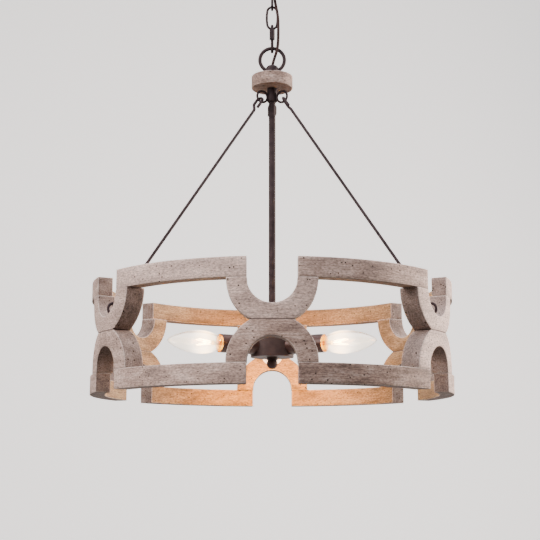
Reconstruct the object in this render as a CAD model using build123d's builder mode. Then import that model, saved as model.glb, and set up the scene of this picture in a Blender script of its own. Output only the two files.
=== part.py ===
from build123d import *
from math import atan2, copysign, pi, radians, sin, cos, sqrt, tan
import os

# Wood drum pendant light, in millimetres.
# The ceiling is Z = 0 and everything hangs below it. The drum's axis is Z.
# An azimuth is counted from the front, -Y, towards +X.

# Drum: an upper and a lower ring of bent bands and half rings, mirror images of each other
bays = 6
drum_radius = 254.0
band_height = 25.5
band_thickness = 21.0
arc_thickness = 24.5
arc_inner_radius = 30.7
arc_outer_radius = 56.3
arc_web = 19.7
arm_straight = 1.5
band_setback = 0.6
dowel_radius = 3.0
dowel_length = 22.0
web_dowel_length = 18.0
web_dowel_offset = 13.0
dowel_clearance = 0.1

# From the underside of the puck to the drum's top edge
drum_drop = 297.5

# Ceiling hardware
strap_length = 104.0
strap_width = 22.0
strap_thickness = 2.0
strap_slot_spacing = 79.5
strap_slot_length = 14.3
strap_slot_width = 4.8
ground_offset = 24.0
ground_shank_radius = 2.0
ground_head_radius = 3.6
ground_head_height = 2.0
nipple_radius = 4.9
nipple_bore_radius = 3.6
nipple_engagement = 10.0
nipple_nut_height = 3.5
nipple_nut_flats = 15.0
canopy_radius = 62.0
canopy_height = 27.0
canopy_sheet = 1.2
canopy_rim_height = 5.0
canopy_shoulder_radius = 19.0
canopy_hole_clearance = 0.3
barrel_radius = 13.0
barrel_height = 13.0
barrel_lip = 1.0
collar_height = 8.0
collar_radius = 17.5
collar_grooves = 36
collar_groove_radius = 0.8
boss_radius = 6.5
boss_height = 3.0
loop_wire = 4.2
loop_inner_radius = 8.0
thread_clearance = 0.1

# Chain
link_wire = 3.5
link_width = 19.5
link_height = 37.6
link_seam = 0.6
link_crown_width = 12.4
link_side_straight = 10.0
quick_wire = 4.2
quick_width = 20.0
quick_height = 43.7
quick_gap = 6.0
quick_stub = 0.8
sleeve_nut_radius = 3.9
sleeve_nut_length = 16.0
chain_play = 0.15

# Feed cord
cord_diameter = 3.6

# Top loop, puck, stem and the collar with three rings
ring_wire = 5.3
ring_outer_radius = 20.75
ring_lift = 5.1
neck_radius = 9.0
neck_height = 17.0
neck_crown = 5.0
neck_shank_length = 14.0
wireway_radius = 2.2
wireway_flare = 2.0
puck_radius = 30.2
puck_height = 18.5
puck_edge = 0.8
stem_radius = 4.95
stem_bore_radius = 3.2
eye_collar_radius = 7.3
eye_collar_height = 20.4
upper_ring_wire = 3.4
upper_ring_radius = 8.4
upper_ring_sink = 0.75
upper_ring_drop = 14.8

# Rods, hooked at both ends
first_rod_azimuth = -60.0
rod_wire = 4.2
rod_loop_radius = 4.6
rod_loop_straight = 9.5
rod_loop_neck = 9.0
rod_loop_end = 3.5
rod_offset = 2.0
rod_bend_radius = 4.0
rod_turns = (210.0, 24.0, 180.0)
rod_play = 0.25
turned_rod_play = 1.5

# Screw eyes in three channel bottoms, and two domed screws under the bands
eye_wire = 3.6
eye_radius = 7.7
eye_standoff = 1.0
eye_shank_length = 14.0
cap_head_radius = 4.5
cap_head_height = 3.2
cap_shank_radius = 2.0
cap_shank_gap = 0.8
cap_drop = 5.0
cap_inset = 15.0
screw_clearance = 0.05

# Hub
hub_radius = 30.5
hub_height = 36.8
hub_wall = 1.6
hub_rounding = 5.0
hub_plate_thickness = 1.0
hub_plate_clearance = 0.2
hub_nut_height = 4.0
hub_nut_flats = 16.0
socket_drop = 6.2
socket_above_hub_bottom = 15.8
finial_neck_radius = 7.2
finial_neck_height = 3.9
finial_ball_radius = 7.6
finial_ball_overlap = 2.6
finial_stud_length = 18.0
wire_slot_radius = 2.4
wire_slot_height = 24.0
lead_radius = 1.1
lead_spacing = 2.4
lead_bend_radius = 3.0
lead_sag = 2.0

# Sockets and bulbs, measured outwards from the drum's axis
cup_radius = 12.9
cup_wall = 1.0
cup_inner_end = 21.5
cup_mouth = 84.0
cup_hole_radius = 4.0
socket_radius = 11.0
socket_mouth = 75.0
base_radius = 6.0
base_length = 17.0
base_clearance = 0.1
contact_radius = 2.4
contact_height = 1.4
bulb_stem_radius = 3.0
bulb_stem_length = 20.0
bulb_gap = 0.3
bulb_neck_radius = 6.8
bulb_throat_radius = 10.0
bulb_throat = 9.0
bulb_radius = 16.2
bulb_widest = 39.0
bulb_length = 87.7
bulb_shoulder_radius = bulb_radius * 0.69
bulb_shoulder = bulb_length * 0.793
bulb_wall = 0.6

# Heights, stacked down from the ceiling
collar_top = -canopy_height
collar_bottom = collar_top - collar_height
barrel_bottom = collar_bottom - barrel_lip
barrel_top = barrel_bottom + barrel_height
boss_bottom = barrel_bottom - boss_height
loop_centre = boss_bottom + 1.0 - loop_inner_radius
loop_pivot = loop_centre - loop_inner_radius - loop_wire / 2
link_1_top = loop_centre - loop_inner_radius + chain_play + link_wire
link_1_bottom = link_1_top - link_height
link_2_top = link_1_bottom + link_wire + chain_play + link_wire
link_2_bottom = link_2_top - link_height
quick_top = link_2_bottom + link_wire + chain_play + quick_wire
quick_bottom = quick_top - quick_height
ring_top = quick_bottom + quick_wire + chain_play + ring_wire
ring_centre = ring_top - ring_outer_radius
puck_top = ring_centre - ring_outer_radius - ring_lift
puck_bottom = puck_top - puck_height
upper_ring_centre = puck_bottom - upper_ring_drop
drum_top = puck_bottom - drum_drop
upper_seam = drum_top - band_height
channel_bottom = upper_seam - arm_straight - arc_inner_radius
mid_plane = channel_bottom - arc_web
lower_seam = mid_plane - arc_web - arc_inner_radius - arm_straight
drum_bottom = lower_seam - band_height
socket_axis = mid_plane - socket_drop
hub_bottom = socket_axis - socket_above_hub_bottom
hub_top = hub_bottom + hub_height
stem_bottom = hub_bottom + hub_plate_thickness
eye_centre = channel_bottom + eye_standoff + eye_wire / 2 + eye_radius

# Places around the axis
bay_azimuths = [-120.0, -60.0, 0.0, 60.0, 120.0, 180.0]
rod_azimuths = [first_rod_azimuth, -first_rod_azimuth, 180.0]
cap_azimuths = [first_rod_azimuth, -first_rod_azimuth]
arm_offset = (arc_inner_radius + arc_outer_radius) / 2
cap_shank_length = arc_outer_radius - arm_offset - dowel_radius - dowel_clearance - cap_shank_gap
upper_ring_distance = eye_collar_radius + upper_ring_radius + upper_ring_wire / 2 - upper_ring_sink


def outward(azimuth):
    return Vector(sin(radians(azimuth)), -cos(radians(azimuth)), 0)


def sideways(azimuth):
    return Vector(cos(radians(azimuth)), sin(radians(azimuth)), 0)


def facing_plane(azimuth, distance=0.0, height=0.0):
    # x runs sideways, y runs up and z points outwards
    origin = outward(azimuth) * distance + Vector(0, 0, height)
    return Plane(origin=origin, x_dir=sideways(azimuth), z_dir=outward(azimuth))


def save(builder, name):
    builder.part.label = name
    export_step(builder.part, f"parts/{name}.step")


def add_tube(route_plane, points, radii, diameter):
    with BuildLine(route_plane) as route:
        FilletPolyline(*points, radius=radii)
    path = route.wires()[0]
    with BuildSketch(Plane(origin=path @ 0, z_dir=path % 0)) as section:
        Circle(diameter / 2)
    sweep(sections=section.sketch, path=path)


def make_strap():
    with BuildPart() as strap:
        with BuildSketch(Plane.XY.offset(-strap_thickness)):
            SlotOverall(strap_length, strap_width)
            Circle(nipple_radius + thread_clearance, mode=Mode.SUBTRACT)
            with Locations((-strap_slot_spacing / 2, 0), (strap_slot_spacing / 2, 0)):
                SlotOverall(strap_slot_length, strap_slot_width, mode=Mode.SUBTRACT)
            with Locations((-ground_offset, 0)):
                Circle(ground_shank_radius + thread_clearance, mode=Mode.SUBTRACT)
        extrude(amount=strap_thickness)
    save(strap, "mounting_strap")


def make_ground_screw():
    with BuildPart() as screw:
        with BuildSketch(Plane.XY.offset(-strap_thickness)):
            with Locations((-ground_offset, 0)):
                Circle(ground_head_radius)
        extrude(amount=-ground_head_height)
        with BuildSketch(Plane.XY.offset(-strap_thickness)):
            with Locations((-ground_offset, 0)):
                Circle(ground_shank_radius)
        extrude(amount=strap_thickness)
        chamfer(screw.faces().sort_by(Axis.Z)[0].edges(), ground_head_height / 4)
    save(screw, "ground_screw")


def make_nipple():
    with BuildPart() as nipple:
        with BuildSketch(Plane.XY):
            Circle(nipple_radius)
            Circle(nipple_bore_radius, mode=Mode.SUBTRACT)
        extrude(amount=barrel_top - nipple_engagement)
    save(nipple, "threaded_nipple")


def make_nipple_nuts():
    with BuildPart() as nuts:
        for height in (-strap_thickness - nipple_nut_height, barrel_top):
            with BuildSketch(Plane.XY.offset(height)):
                RegularPolygon(nipple_nut_flats / 2, 6, major_radius=False)
                Circle(nipple_radius + thread_clearance, mode=Mode.SUBTRACT)
            extrude(amount=nipple_nut_height)
    save(nuts, "nipple_nuts")


def make_canopy():
    with BuildPart() as canopy:
        with BuildSketch(Plane.XZ):
            with BuildLine():
                Polyline((canopy_radius, -canopy_rim_height), (canopy_radius, 0), (0, 0),
                         (0, -canopy_height), (canopy_shoulder_radius, -canopy_height))
                Spline((canopy_shoulder_radius, -canopy_height), (canopy_radius, -canopy_rim_height),
                       tangents=[(1, 0), (0.25, 1)])
            make_face()
        revolve(axis=Axis.Z)
        offset(amount=-canopy_sheet, openings=canopy.faces().sort_by(Axis.Z)[-1])
        with BuildSketch(Plane.XY.offset(-canopy_height)):
            Circle(barrel_radius + canopy_hole_clearance)
        extrude(amount=canopy_height, mode=Mode.SUBTRACT)
    save(canopy, "canopy")


def make_canopy_collar():
    with BuildPart() as collar:
        with BuildSketch(Plane.XY.offset(collar_bottom)):
            Circle(collar_radius)
            Circle(barrel_radius + thread_clearance, mode=Mode.SUBTRACT)
            with PolarLocations(collar_radius, collar_grooves):
                Circle(collar_groove_radius, mode=Mode.SUBTRACT)
        extrude(amount=collar_height)
    save(collar, "canopy_collar")


def make_canopy_loop():
    with BuildPart() as loop:
        with BuildSketch(Plane.XY.offset(barrel_bottom)):
            Circle(barrel_radius)
        extrude(amount=barrel_height)
        with BuildSketch(Plane.XY.offset(boss_bottom)):
            Circle(boss_radius)
        extrude(amount=boss_height)
        fillet(loop.faces().sort_by(Axis.Z)[0].edges(), boss_height / 3)
        with Locations(Plane(origin=(0, 0, loop_centre), z_dir=(0, 1, 0))):
            Torus(loop_inner_radius + loop_wire / 2, loop_wire / 2)
        with BuildSketch(Plane.XY.offset(barrel_top)):
            Circle(nipple_radius + thread_clearance)
        extrude(amount=-nipple_engagement, mode=Mode.SUBTRACT)
        with BuildSketch(Plane.XY.offset(barrel_top)):
            Circle(wireway_radius)
        extrude(amount=boss_bottom - barrel_top - loop_inner_radius, mode=Mode.SUBTRACT)
    save(loop, "canopy_loop")


def link_outline(width, height, wire, first, last):
    # an oval that starts at one height on its left leg and ends at another
    side = (width - wire) / 2
    end = (height - wire) / 2
    corner = side - 0.02
    points = [(-side, first), (-side, -end), (side, -end), (side, end), (-side, end), (-side, last)]
    return points, [corner] * 4


def oval_outline():
    # a chain link, with bowed sides that lean in towards its crowns
    side = (link_width - link_wire) / 2
    end = (link_height - link_wire) / 2
    crown = link_crown_width / 2
    straight = link_side_straight / 2
    lean = atan2(side - crown, end - straight)
    crown_radius = 0.99 * crown / tan((pi / 2 - lean) / 2)
    side_radius = 0.9 * straight / tan(lean / 2)
    points = [(-side, -link_seam / 2), (-side, -straight), (-crown, -end), (crown, -end), (side, -straight)]
    radii = [side_radius, crown_radius, crown_radius, side_radius]
    return points + [(x, -y) for x, y in reversed(points)], radii + list(reversed(radii))


def make_chain_link(name, top, across):
    points, radii = oval_outline()
    centre = (0, 0, top - link_height / 2)
    link_plane = Plane(origin=centre, x_dir=across, z_dir=Vector(across).cross(Vector(0, 0, 1)))
    with BuildPart() as link:
        add_tube(link_plane, points, radii, link_wire)
    save(link, name)


def make_quick_link():
    leg_end = (quick_height - quick_width) / 2
    upper_cut = leg_end - quick_stub
    points, radii = link_outline(quick_width, quick_height, quick_wire, upper_cut - quick_gap, upper_cut)
    centre = Vector(0, 0, quick_top - quick_height / 2)
    with BuildPart() as link:
        add_tube(Plane(origin=centre, x_dir=(0, 1, 0), z_dir=(1, 0, 0)), points, radii, quick_wire)
    save(link, "quick_link")
    leg = (quick_width - quick_wire) / 2
    nut_top = quick_top - quick_height / 2 + leg_end
    with BuildPart() as nut:
        with BuildSketch(Plane(origin=(0, -leg, nut_top), x_dir=(1, 0, 0), z_dir=(0, 0, -1))):
            RegularPolygon(sleeve_nut_radius, 6)
            Circle(quick_wire / 2 + thread_clearance, mode=Mode.SUBTRACT)
        extrude(amount=sleeve_nut_length)
    save(nut, "quick_link_nut")


# The cord weaves down the chain's right-hand side, in front of the ring, and into the neck
cord_route = [
    (0, 0, -34.0),
    (0, 0, -40.5),
    (2.8, -2.2, -47.0),
    (5.2, -5.2, -54.5),
    (4.8, -5.4, -62.5),
    (3.6, -4.4, -71.5),
    (5.6, -4.8, -82.5),
    (8.2, -5.0, -96.0),
    (9.2, -4.8, -111.0),
    (9.1, -4.8, -125.0),
    (8.9, -5.2, -137.0),
    (8.0, -5.7, -148.0),
    (5.4, -4.8, -158.0),
    (2.2, -1.9, -166.5),
    (0, 0, -175.0),
    (0, 0, -185.0),
]


def arc_radii(route):
    # each arc is as large as its two runs allow
    radii = []
    for before, corner, after in zip(route, route[1:], route[2:]):
        run_in = Vector(*corner) - Vector(*before)
        run_out = Vector(*after) - Vector(*corner)
        half_turn = radians(run_in.get_angle(run_out)) / 2
        radii.append(0.45 * min(run_in.length, run_out.length) / tan(half_turn))
    return radii


def make_feed_cord():
    radii = arc_radii(cord_route)
    with BuildPart() as cord:
        add_tube(Plane.XY, cord_route, radii, cord_diameter)
    runs = [(Vector(*b) - Vector(*a)).length for a, b in zip(cord_route, cord_route[1:])]
    print("cord radii", [round(radius, 1) for radius in radii], "runs", [round(run, 1) for run in runs])
    save(cord, "feed_cord")


def make_top_loop():
    with BuildPart() as loop:
        with BuildSketch(Plane.XY.offset(puck_top)):
            Circle(neck_radius)
        extrude(amount=neck_height)
        fillet(loop.faces().sort_by(Axis.Z)[-1].edges(), neck_crown)
        with BuildSketch(Plane.XY.offset(puck_top)):
            Circle(stem_bore_radius - thread_clearance)
        extrude(amount=-neck_shank_length)
        with Locations(Plane(origin=(0, 0, ring_centre), z_dir=(0, 1, 0))):
            Torus(ring_outer_radius - ring_wire / 2, ring_wire / 2)
        with BuildSketch(Plane.XY.offset(puck_top - neck_shank_length)):
            Circle(wireway_radius)
        extrude(amount=neck_shank_length + neck_height, mode=Mode.SUBTRACT)
        with Locations((0, 0, puck_top + neck_height - wireway_flare / 2)):
            Cone(wireway_radius, wireway_radius + wireway_flare, wireway_flare, mode=Mode.SUBTRACT)
    save(loop, "top_loop")


def make_puck():
    with BuildPart() as puck:
        with BuildSketch(Plane.XY.offset(puck_bottom)):
            Circle(puck_radius)
        extrude(amount=puck_height)
        chamfer(puck.edges(), puck_edge)
        with BuildSketch(Plane.XY.offset(puck_bottom)):
            Circle(stem_radius + thread_clearance)
        extrude(amount=puck_height, mode=Mode.SUBTRACT)
    save(puck, "wood_puck")


def make_stem():
    with BuildPart() as stem:
        with BuildSketch(Plane.XY.offset(stem_bottom)):
            Circle(stem_radius)
            Circle(stem_bore_radius, mode=Mode.SUBTRACT)
        extrude(amount=puck_top - stem_bottom)
        for azimuth in rod_azimuths:
            with BuildSketch(facing_plane(azimuth, 0, hub_bottom + wire_slot_height)):
                Circle(wire_slot_radius)
            extrude(amount=2 * stem_radius, mode=Mode.SUBTRACT)
    save(stem, "stem_tube")


def make_ring_collar():
    with BuildPart() as collar:
        with BuildSketch(Plane.XY.offset(puck_bottom)):
            Circle(eye_collar_radius)
        extrude(amount=-eye_collar_height)
        chamfer(collar.faces().sort_by(Axis.Z)[0].edges(), upper_ring_sink)
        for azimuth in rod_azimuths:
            centre = outward(azimuth) * upper_ring_distance + Vector(0, 0, upper_ring_centre)
            with Locations(Plane(origin=centre, z_dir=sideways(azimuth))):
                Torus(upper_ring_radius, upper_ring_wire / 2)
        with BuildSketch(Plane.XY.offset(puck_bottom)):
            Circle(stem_radius + thread_clearance)
        extrude(amount=-eye_collar_height, mode=Mode.SUBTRACT)
    save(collar, "ring_collar")


def rod_outline(half_length):
    # the loops' free legs, crowns and necks; half_length reaches to the centre of each crown
    side = rod_loop_radius
    crown = half_length + side
    neck = half_length - rod_loop_straight
    shank = neck - rod_loop_neck
    loop = [(-side, neck - rod_loop_end), (-side, crown), (side, crown), (side, neck), (-rod_offset, shank)]
    radii = [side - 0.05, side - 0.05, rod_bend_radius, rod_bend_radius]
    return loop + [(x, -y) for x, y in reversed(loop)], radii + list(reversed(radii))


def make_rod(index, azimuth, turn):
    upper = outward(azimuth) * upper_ring_distance + Vector(0, 0, upper_ring_centre)
    lower = eye_spot(azimuth, eye_centre)
    pull = (lower - upper).normalized()
    play = rod_play + turned_rod_play * abs(sin(radians(turn)))
    upper_inset = rod_loop_radius - rod_wire / 2 - upper_ring_wire / 2 - play
    lower_inset = rod_loop_radius - rod_wire / 2 - eye_wire / 2 - play
    start = upper + pull * (upper_ring_radius + upper_inset)
    end = lower - pull * (eye_radius + lower_inset)
    across = sideways(azimuth)
    lift = across.cross(pull)
    across = across * cos(radians(turn)) + lift * sin(radians(turn))
    points, radii = rod_outline((end - start).length / 2)
    rod_plane = Plane(origin=(start + end) / 2, x_dir=across, z_dir=across.cross(pull * -1))
    with BuildPart() as rod:
        add_tube(rod_plane, points, radii, rod_wire)
    save(rod, f"suspension_rod_{index}")


def eye_spot(azimuth, height):
    return outward(azimuth) * (drum_radius - arc_thickness / 2) + Vector(0, 0, height)


def make_screw_eyes():
    with BuildPart() as eyes:
        for azimuth in rod_azimuths:
            with Locations(Plane(origin=eye_spot(azimuth, eye_centre), z_dir=sideways(azimuth))):
                Torus(eye_radius, eye_wire / 2)
            with Locations(eye_spot(azimuth, eye_centre - eye_radius)):
                Cylinder(eye_wire / 2, eye_standoff + eye_wire / 2 + eye_shank_length,
                         align=(Align.CENTER, Align.CENTER, Align.MAX))
    save(eyes, "screw_eyes")


def cap_plane(azimuth):
    # z runs out of the far arm's side, in the corner under the band
    side = copysign(1, azimuth)
    spot = outward(azimuth) * (drum_radius - cap_inset) + sideways(azimuth) * side * arc_outer_radius
    return Plane(origin=spot + Vector(0, 0, upper_seam - cap_drop), x_dir=(0, 0, 1),
                 z_dir=sideways(azimuth) * side)


def make_cap_screws():
    ball_radius = (cap_head_radius ** 2 + cap_head_height ** 2) / (2 * cap_head_height)
    with BuildPart() as screws:
        for azimuth in cap_azimuths:
            with Locations(cap_plane(azimuth).offset(screw_clearance + cap_head_height - ball_radius)):
                Sphere(ball_radius)
            with BuildSketch(cap_plane(azimuth).offset(screw_clearance)):
                Circle(2 * ball_radius)
            extrude(amount=-2 * ball_radius, mode=Mode.SUBTRACT)
        for azimuth in cap_azimuths:
            with BuildSketch(cap_plane(azimuth).offset(screw_clearance)):
                Circle(cap_shank_radius)
            extrude(amount=-cap_shank_length)
    save(screws, "cap_screws")


def make_hub_cup():
    with BuildPart() as cup:
        with BuildSketch(Plane.XY.offset(hub_bottom)):
            Circle(hub_radius)
        extrude(amount=hub_height)
        fillet(cup.faces().sort_by(Axis.Z)[-1].edges(), hub_rounding)
        offset(amount=-hub_wall, openings=cup.faces().sort_by(Axis.Z)[0])
        for azimuth in rod_azimuths:
            with BuildSketch(facing_plane(azimuth, 0, socket_axis)):
                Circle(cup_radius + screw_clearance)
            extrude(amount=hub_radius + 1.0, mode=Mode.SUBTRACT)
        with BuildSketch(Plane.XY.offset(hub_top)):
            Circle(stem_radius + thread_clearance)
        extrude(amount=-hub_height, mode=Mode.SUBTRACT)
    save(cup, "hub_cup")


def make_hub_nuts():
    with BuildPart() as nuts:
        for height in (hub_top, hub_top - hub_wall - hub_nut_height):
            with BuildSketch(Plane.XY.offset(height)):
                RegularPolygon(hub_nut_flats / 2, 6, major_radius=False)
                Circle(stem_radius + thread_clearance, mode=Mode.SUBTRACT)
            extrude(amount=hub_nut_height)
    save(nuts, "hub_nuts")


def make_hub_plate():
    with BuildPart() as plate:
        with BuildSketch(Plane.XY.offset(hub_bottom)):
            Circle(hub_radius - hub_wall - hub_plate_clearance)
            Circle(stem_bore_radius, mode=Mode.SUBTRACT)
        extrude(amount=hub_plate_thickness)
    save(plate, "hub_plate")


def make_finial():
    with BuildPart() as finial:
        with BuildSketch(Plane.XY.offset(hub_bottom)):
            Circle(finial_neck_radius)
        extrude(amount=-finial_neck_height)
        with Locations((0, 0, hub_bottom - finial_neck_height - finial_ball_radius + finial_ball_overlap)):
            Sphere(finial_ball_radius)
        with BuildSketch(Plane.XY.offset(hub_bottom)):
            Circle(stem_bore_radius - thread_clearance)
        extrude(amount=finial_stud_length)
    save(finial, "finial")


def make_socket_cups():
    with BuildPart() as cups:
        for azimuth in rod_azimuths:
            with BuildSketch(facing_plane(azimuth, cup_inner_end, socket_axis)):
                Circle(cup_radius)
                Circle(cup_hole_radius, mode=Mode.SUBTRACT)
            extrude(amount=cup_wall)
            with BuildSketch(facing_plane(azimuth, cup_inner_end + cup_wall, socket_axis)):
                Circle(cup_radius)
                Circle(cup_radius - cup_wall, mode=Mode.SUBTRACT)
            extrude(amount=cup_mouth - cup_inner_end - cup_wall)
    save(cups, "socket_cups")


def make_sockets():
    seat = cup_inner_end + cup_wall
    depth = base_length - bulb_gap + contact_height + base_clearance
    with BuildPart() as sockets:
        for azimuth in rod_azimuths:
            with BuildSketch(facing_plane(azimuth, seat, socket_axis)):
                Circle(socket_radius)
            extrude(amount=socket_mouth - seat)
            with BuildSketch(facing_plane(azimuth, socket_mouth - depth, socket_axis)):
                Circle(base_radius + base_clearance)
            extrude(amount=depth, mode=Mode.SUBTRACT)
    save(sockets, "sockets")


def bulb_outline(inset):
    # height above the base against radius; inset gives the inner wall
    neck = (bulb_neck_radius - inset, 0)
    throat = (bulb_throat_radius - inset, bulb_throat)
    widest = (bulb_radius - inset, bulb_widest)
    shoulder = (bulb_shoulder_radius - inset, bulb_shoulder)
    tip = (0, bulb_length - inset)
    Line((0, 0), neck)
    Spline(neck, throat, widest, shoulder, tip, tangents=[(0.35, 1), (-1, 0.6)])
    Line(tip, (0, 0))


def make_bulb(index, azimuth):
    start = socket_mouth + bulb_gap
    axis_plane = facing_plane(azimuth, start, socket_axis)
    across = sideways(azimuth)
    outline_plane = Plane(origin=axis_plane.origin, x_dir=across, z_dir=across.cross(outward(azimuth)))
    bulb_axis = Axis(axis_plane.origin, outward(azimuth))
    with BuildPart() as glass:
        with BuildSketch(outline_plane):
            with BuildLine():
                bulb_outline(0)
            make_face()
        revolve(axis=bulb_axis)
        with BuildSketch(outline_plane):
            with BuildLine():
                bulb_outline(bulb_wall)
            make_face()
        revolve(axis=bulb_axis, mode=Mode.SUBTRACT)
    save(glass, f"bulb_glass_{index}")
    with BuildPart() as base:
        with BuildSketch(axis_plane):
            Circle(base_radius)
        extrude(amount=-base_length)
        chamfer(base.edges().group_by(Axis(axis_plane.origin, outward(azimuth)))[0], contact_height)
        with BuildSketch(axis_plane.offset(-base_length)):
            Circle(contact_radius)
        extrude(amount=-contact_height)
        with BuildSketch(axis_plane):
            Circle(bulb_stem_radius)
        extrude(amount=bulb_stem_length)
    save(base, f"bulb_base_{index}")


def make_lamp_wires():
    # the cord goes on down the stem, and a pair of leads runs from it to the back of each socket
    slot = hub_bottom + wire_slot_height
    seat = cup_inner_end + cup_wall
    cord_end = cord_route[-1][2]
    with BuildPart() as wires:
        with BuildSketch(Plane.XY.offset(cord_end)):
            Circle(cord_diameter / 2)
        extrude(amount=slot - lead_radius - cord_end)
        for azimuth in rod_azimuths:
            for side in (-lead_spacing / 2, lead_spacing / 2):
                across = sideways(azimuth)
                lead_plane = Plane(origin=across * side, x_dir=outward(azimuth), z_dir=-across)
                bend = (stem_radius + seat) / 2
                slope = [(bend - lead_sag, slot), (bend + lead_sag, socket_axis)]
                points = [(0, slot), *slope, (seat, socket_axis)]
                add_tube(lead_plane, points, [lead_bend_radius] * 2, 2 * lead_radius)
    save(wires, "lamp_wires")


def arm_dowel_spots(azimuth):
    # the middle of each arm's end, left arm first
    depth = sqrt((drum_radius - band_thickness / 2) ** 2 - arm_offset ** 2)
    return [outward(azimuth) * depth + sideways(azimuth) * side for side in (-arm_offset, arm_offset)]


def web_dowel_spots(azimuth):
    depth = outward(azimuth) * (drum_radius - arc_thickness / 2)
    return [depth + sideways(azimuth) * side for side in (-web_dowel_offset, web_dowel_offset)]


def drill_dowel_holes(spots, height, length):
    for spot in spots:
        with Locations(spot + Vector(0, 0, height)):
            Cylinder(dowel_radius + dowel_clearance, length + 2 * dowel_clearance, mode=Mode.SUBTRACT)


def make_half_ring(azimuth, seam, name):
    # cut straight through a bent board, so that its walls run parallel to its own azimuth
    start = sqrt((drum_radius - arc_thickness) ** 2 - arc_outer_radius ** 2) - 1.0
    middle = (seam + mid_plane) / 2
    arc_centre = seam + copysign(arm_straight, mid_plane - seam)
    with BuildPart() as piece:
        with BuildSketch(facing_plane(azimuth, start)):
            for radius, mode in ((arc_outer_radius, Mode.ADD), (arc_inner_radius, Mode.SUBTRACT)):
                with Locations((0, arc_centre)):
                    Circle(radius, mode=mode)
                with Locations((0, (seam + arc_centre) / 2)):
                    Rectangle(2 * radius, arm_straight, mode=mode)
            with Locations((0, middle)):
                Rectangle(2 * arc_outer_radius, abs(seam - mid_plane), mode=Mode.INTERSECT)
        extrude(amount=drum_radius - start + 1.0)
        with Locations((0, 0, middle)):
            Cylinder(drum_radius, 2 * arc_outer_radius, mode=Mode.INTERSECT)
            Cylinder(drum_radius - arc_thickness, 2 * arc_outer_radius, mode=Mode.SUBTRACT)
        drill_dowel_holes(arm_dowel_spots(azimuth), seam, dowel_length)
        drill_dowel_holes(web_dowel_spots(azimuth), mid_plane, web_dowel_length)
        if seam > mid_plane and azimuth in rod_azimuths:
            with Locations(eye_spot(azimuth, channel_bottom)):
                Cylinder(eye_wire / 2, 2 * eye_shank_length, mode=Mode.SUBTRACT)
        if seam > mid_plane and azimuth in cap_azimuths:
            with BuildSketch(cap_plane(azimuth)):
                Circle(cap_shank_radius)
            extrude(amount=-cap_shank_length, mode=Mode.SUBTRACT)
    save(piece, name)


def make_band(azimuth, bottom, seam, name):
    # bent from one channel to the next, its ends cut square to the channels
    half_bay = 180.0 / bays
    setback = arc_inner_radius + band_setback
    apex = outward(azimuth + half_bay) * (setback / sin(radians(half_bay)))
    near_end = apex + outward(azimuth) * 2 * drum_radius
    far_end = apex + outward(azimuth + 2 * half_bay) * 2 * drum_radius
    with BuildPart() as piece:
        with BuildSketch(Plane.XY.offset(bottom)):
            Circle(drum_radius)
            Circle(drum_radius - band_thickness, mode=Mode.SUBTRACT)
            Polygon(*[(corner.X, corner.Y) for corner in (apex, near_end, far_end)],
                    align=None, mode=Mode.INTERSECT)
        extrude(amount=band_height)
        spots = [arm_dowel_spots(azimuth)[1], arm_dowel_spots(azimuth + 2 * half_bay)[0]]
        drill_dowel_holes(spots, seam, dowel_length)
    save(piece, name)


def make_dowels():
    with BuildPart() as dowels:
        for azimuth in bay_azimuths:
            for seam in (upper_seam, lower_seam):
                for spot in arm_dowel_spots(azimuth):
                    with Locations(spot + Vector(0, 0, seam)):
                        Cylinder(dowel_radius, dowel_length)
            for spot in web_dowel_spots(azimuth):
                with Locations(spot + Vector(0, 0, mid_plane)):
                    Cylinder(dowel_radius, web_dowel_length)
    save(dowels, "glue_dowels")


def make_drum():
    for index, azimuth in enumerate(bay_azimuths, start=1):
        make_band(azimuth, upper_seam, upper_seam, f"upper_band_{index}")
        make_half_ring(azimuth, upper_seam, f"upper_half_ring_{index}")
        make_half_ring(azimuth, lower_seam, f"lower_half_ring_{index}")
        make_band(azimuth, drum_bottom, lower_seam, f"lower_band_{index}")
    make_dowels()


os.makedirs("parts", exist_ok=True)
make_strap()
make_ground_screw()
make_nipple()
make_nipple_nuts()
make_canopy()
make_canopy_collar()
make_canopy_loop()
make_chain_link("chain_link_1", link_1_top, (0, 1, 0))
make_chain_link("chain_link_2", link_2_top, (1, 0, 0))
make_quick_link()
make_feed_cord()
make_top_loop()
make_puck()
make_stem()
make_ring_collar()
for number, place in enumerate(rod_azimuths, start=1):
    make_rod(number, place, rod_turns[number - 1])
    make_bulb(number, place)
make_screw_eyes()
make_cap_screws()
make_hub_cup()
make_hub_nuts()
make_hub_plate()
make_finial()
make_socket_cups()
make_sockets()
make_lamp_wires()
make_drum()
print("puck bottom", round(puck_bottom, 2), "drum", round(drum_top, 2), round(drum_bottom, 2))
print("pivots", round(loop_pivot, 3), round(link_1_bottom + link_wire / 2, 3),
      round(link_2_bottom + link_wire / 2, 3), round(quick_bottom + quick_wire / 2, 3))
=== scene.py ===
from math import asin, atan2, cos, exp, pi, radians, sin

import bpy
import numpy as np
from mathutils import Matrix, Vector, noise


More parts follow.
